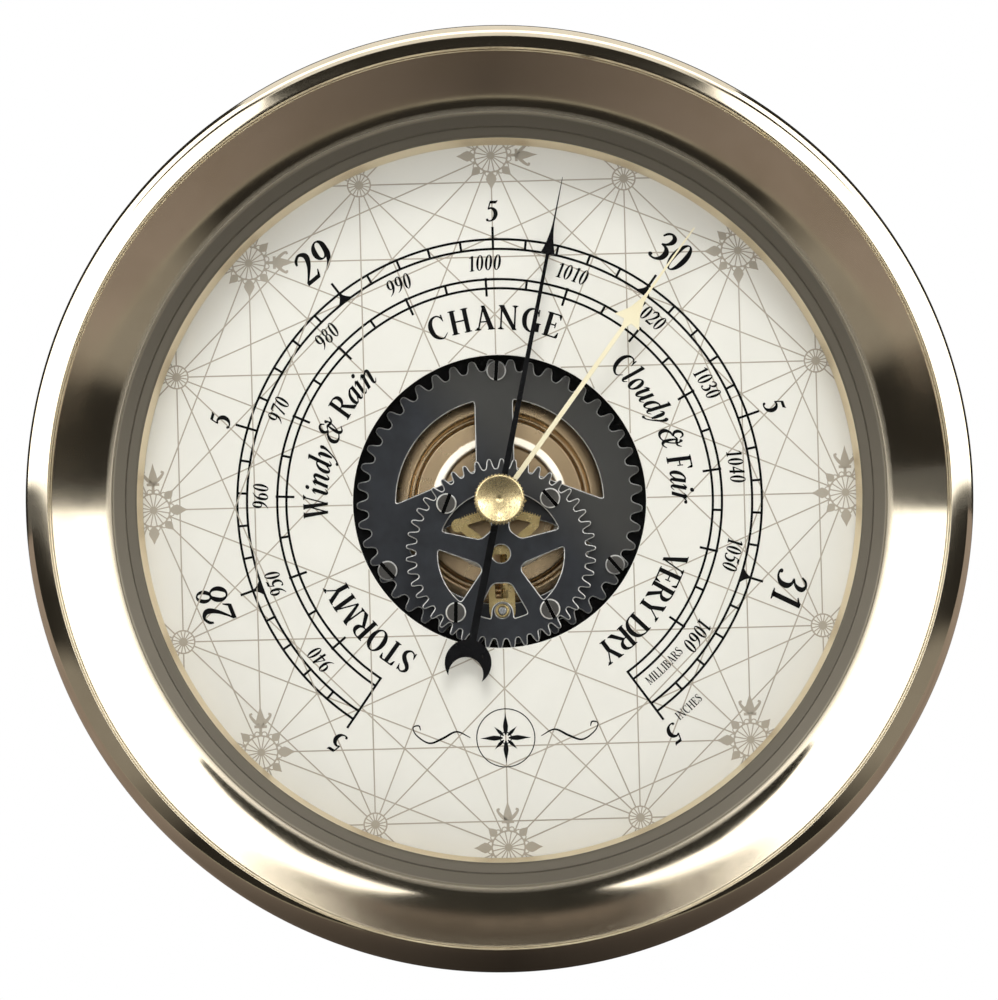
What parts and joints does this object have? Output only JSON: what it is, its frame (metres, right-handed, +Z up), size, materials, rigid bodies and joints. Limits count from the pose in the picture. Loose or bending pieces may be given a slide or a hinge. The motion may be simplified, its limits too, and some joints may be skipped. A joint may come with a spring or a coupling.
{
  "type": "aneroid barometer",
  "caption": "Round wall aneroid barometer: flared polished brass case, glass, open-centre weather dial, capsule movement, pointer and user-set hand on a knob.",
  "frame": {"origin": "middle of the flat back face, on the axis of the dial", "axes": "-Y out of the dial towards the viewer, +Z up, +X to the viewer's right"},
  "size_m": [0.165, 0.0456, 0.165],
  "materials": {
    "polished_brass": "mirror polished, pale",
    "aged_brass": "satin with tarnish",
    "brass": "satin",
    "bronze": "satin spun bronze",
    "blackened_steel": "black satin",
    "black_enamel": "gloss black",
    "steel": "brushed",
    "cream_enamel": "cream paint",
    "dial_print": "matt off-white, printed",
    "clear_glass": "polished flat",
    "black_rubber": "matt"
  },
  "bodies": {
    "case": {"back_cover": "aged_brass", "back_cover_screw_1": "steel", "back_cover_screw_2": "steel", "back_cover_screw_3": "steel", "base_plate": "brass", "bezel": "polished_brass", "capsule_base_stud": "brass", "capsule_nut": "steel", "capsule_rear_shell": "bronze", "case_body": "polished_brass", "dial_foot_1": "brass", "dial_foot_2": "brass", "dial_foot_3": "brass", "dial_plate": "dial_print", "dial_support_ring": "brass", "frame_post_1": "brass", "frame_post_2": "brass", "frame_post_3": "brass", "front_pillar_1": "brass", "front_pillar_2": "brass", "front_pillar_3": "brass", "front_pillar_4": "brass", "front_plate": "blackened_steel", "front_plate_screw_1": "blackened_steel", "front_plate_screw_2": "blackened_steel", "front_plate_screw_3": "blackened_steel", "front_plate_screw_4": "blackened_steel", "glass": "clear_glass", "glass_gasket": "black_rubber", "hairspring_stud": "brass", "hand_arbor_bush": "brass", "hanger_plate": "steel", "main_plate": "blackened_steel", "main_plate_screw_1": "blackened_steel", "main_plate_screw_2": "blackened_steel", "main_plate_screw_3": "blackened_steel", "movement_ring": "black_enamel", "rocker_bracket_lower": "brass", "rocker_bracket_upper": "brass", "rocker_pivot_screw_lower": "steel", "rocker_pivot_screw_upper": "steel", "sector_bush": "brass", "spacer_ring": "brass"},
    "hand": {"hand_arbor": "steel", "hairspring": "steel", "hairspring_collet": "brass", "hand_bush": "brass", "indicating_hand": "black_enamel"},
    "sector": {"sector": "brass", "sector_arbor": "steel"},
    "rocker": {"rocking_shaft": "brass", "drive_arm": "brass", "capsule_arm": "brass"},
    "capsule_front": {"capsule_diaphragm": "bronze", "capsule_post": "brass"},
    "set_hand": {"set_hand": "cream_enamel", "set_arbor": "brass", "set_knob": "aged_brass", "set_spring_washer": "steel"},
    "adjuster": {"adjusting_screw": "steel"}
  },
  "joints": [
    {"name": "hand_spin", "type": "hinge", "parent": "case", "child": "hand", "pos_m": [0, -0.018, 0], "axis": [0, 1, 0], "range_deg": [-157.1, 132.1], "deforming": ["hairspring"]},
    {"name": "sector_swing", "type": "hinge", "parent": "case", "child": "sector", "pos_m": [0, -0.0177, -0.0192], "axis": [0, 1, 0], "range_deg": [-8.91, 10.57]},
    {"name": "rocker_tilt", "type": "hinge", "parent": "case", "child": "rocker", "pos_m": [0.0006, -0.0126, 0], "axis": [0, 0, 1], "range_deg": [-10.46, 12.42]},
    {"name": "capsule_lift", "type": "slide", "parent": "case", "child": "capsule_front", "axis": [0, -1, 0], "range_m": [-0.000408, 0.000483]},
    {"name": "set_hand_turn", "type": "hinge", "parent": "case", "child": "set_hand", "pos_m": [0, -0.03, 0], "axis": [0, 1, 0], "continuous": true},
    {"name": "adjuster_turn", "type": "hinge", "parent": "case", "child": "adjuster", "pos_m": [0, -0.0035, -0.012], "axis": [0, 1, 0], "range_deg": [-180, 180]}
  ],
  "couplings": [
    {"joint": "sector_swing", "follows": "hand_spin", "ratio": -0.066667},
    {"joint": "rocker_tilt", "follows": "hand_spin", "ratio": -0.078431},
    {"joint": "capsule_lift", "follows": "hand_spin", "m_per_rad": -0.00017255}
  ]
}
